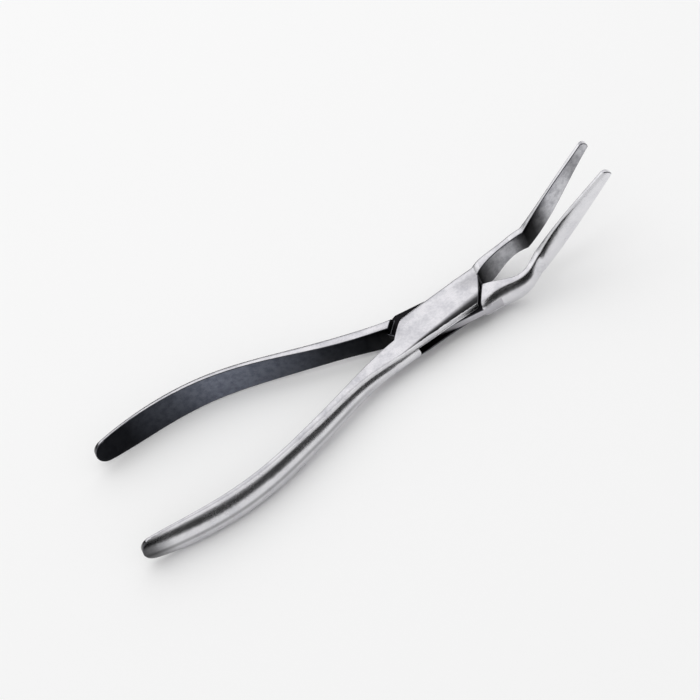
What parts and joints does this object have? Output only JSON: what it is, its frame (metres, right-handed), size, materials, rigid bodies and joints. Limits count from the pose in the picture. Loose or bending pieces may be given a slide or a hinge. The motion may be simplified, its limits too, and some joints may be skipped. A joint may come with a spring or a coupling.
{
  "type": "nasal septum forceps",
  "caption": "Hand forceps of polished steel with a box joint, bowed jaw arms and long flat blades bent upwards, for straightening the wall of the nose.",
  "frame": {"origin": "on the axis of the pivot pin, at the joint's flat underside", "axes": "+Z along the pin and the way the blades are bent, +X from the handles to the blades, +Y towards the through branch's handle"},
  "size_m": [0.2228, 0.0694, 0.0388],
  "materials": {
    "branch_steel": "satin polished stainless steel",
    "pin_steel": "ground flush and polished with the branch"
  },
  "bodies": {
    "slotted_body": {"slotted_branch": "branch_steel", "pivot_pin": "pin_steel"},
    "through_body": {"through_branch": "branch_steel"}
  },
  "joints": [
    {"name": "branch_hinge", "type": "hinge", "parent": "slotted_body", "child": "through_body", "pos_m": [0, 0, 0.0033], "axis": [0, 0, 1], "range_deg": [-12, 11]}
  ]
}
